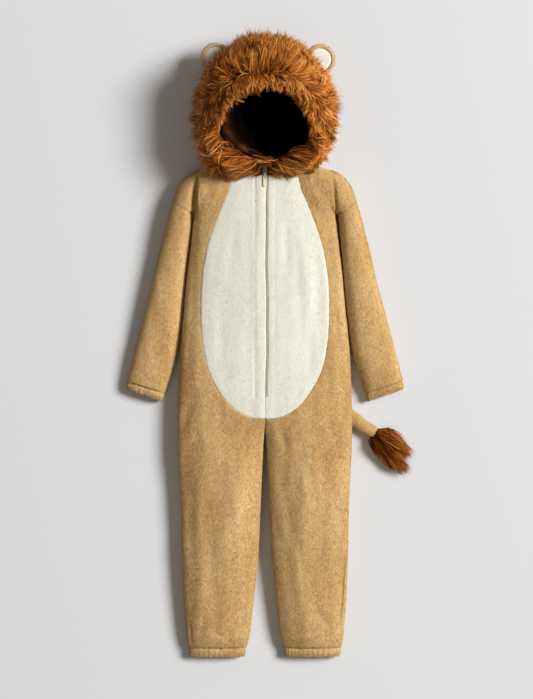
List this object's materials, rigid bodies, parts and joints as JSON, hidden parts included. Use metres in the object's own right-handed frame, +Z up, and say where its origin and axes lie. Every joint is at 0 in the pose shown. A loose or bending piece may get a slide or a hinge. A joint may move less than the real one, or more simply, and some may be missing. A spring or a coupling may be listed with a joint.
{
  "type": "lion costume",
  "caption": "Child's plush lion one-piece laid flat: cream belly with a front zip, maned hood with ears, gathered cuffs and leg hems, tufted tail.",
  "frame": {"origin": "on the surface under the middle of the laid costume's bounding box", "axes": "+X to the right seen from above, +Y from the leg hems to the hood, +Z up from the surface"},
  "size_m": [0.5624, 1.243, 0.1651],
  "materials": {
    "tan_plush": "matte",
    "cream_plush": "matte",
    "brown_fur": "matte",
    "brown_lining": "matte",
    "zip_tape": "matte",
    "zip_teeth": "matte",
    "zip_enamel": "satin"
  },
  "bodies": {
    "suit": {"front_left": "tan_plush", "back_left": "tan_plush", "sleeve_left": "tan_plush", "cuff_left": "tan_plush", "ankle_left": "tan_plush", "hood_back_left": "tan_plush", "belly_left": "cream_plush", "mane_left": "brown_fur", "hood_lining_left": "brown_lining", "ear_left_back": "tan_plush", "ear_left_inner": "cream_plush", "zip_tape_left": "zip_tape", "front_right": "tan_plush", "back_right": "tan_plush", "sleeve_right": "tan_plush", "cuff_right": "tan_plush", "ankle_right": "tan_plush", "hood_back_right": "tan_plush", "belly_right": "cream_plush", "mane_right": "brown_fur", "hood_lining_right": "brown_lining", "ear_right_back": "tan_plush", "ear_right_inner": "cream_plush", "zip_tape_right": "zip_tape", "zip_chain": "zip_teeth", "zip_slider": "zip_enamel", "tail": "tan_plush", "tail_tuft": "brown_fur"},
    "pull": {"zip_pull": "zip_enamel"}
  },
  "joints": [
    {"name": "pull_hinge", "type": "hinge", "parent": "suit", "child": "pull", "pos_m": [-0.00378, 0.3409, 0.065], "axis": [-1, 0, 0], "range_deg": [0, 120]}
  ]
}
